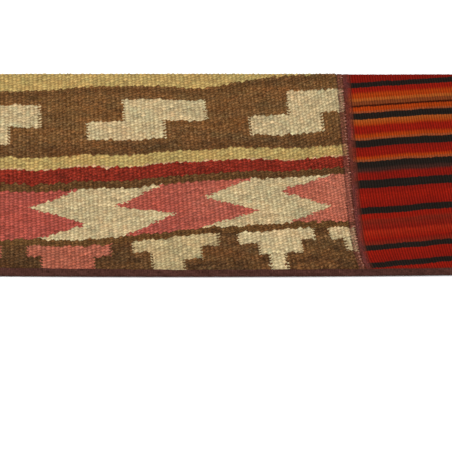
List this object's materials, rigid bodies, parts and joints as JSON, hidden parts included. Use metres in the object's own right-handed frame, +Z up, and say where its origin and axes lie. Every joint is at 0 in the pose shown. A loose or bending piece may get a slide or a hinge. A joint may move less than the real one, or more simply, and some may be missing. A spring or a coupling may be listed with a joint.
{
  "type": "patchwork kilim rug cut length",
  "caption": "Flat cut length of a patchwork kilim rug: a coarse patterned patch and a fine striped patch joined by a tape, with a folded tape binding along one edge.",
  "frame": {"origin": "middle of the footprint, on the surface that the rug lies on", "axes": "+X to the right along the bound edge, +Y away from the bound edge towards the far cut, +Z up"},
  "size_m": [0.42, 0.178, 0.003],
  "materials": {
    "brown_kilim": "matt hand-spun wool, weft-faced, brown ground with cream, yellow, red and pink figures",
    "striped_kilim": "matt fine wool, weft-faced, red, orange and black stripes",
    "maroon_tape": "matt dark maroon cotton tape and thread"
  },
  "bodies": {
    "root": {"panel_brown": "brown_kilim", "panel_striped": "striped_kilim", "seam_tape": "maroon_tape", "edge_binding": "maroon_tape"}
  },
  "joints": []
}
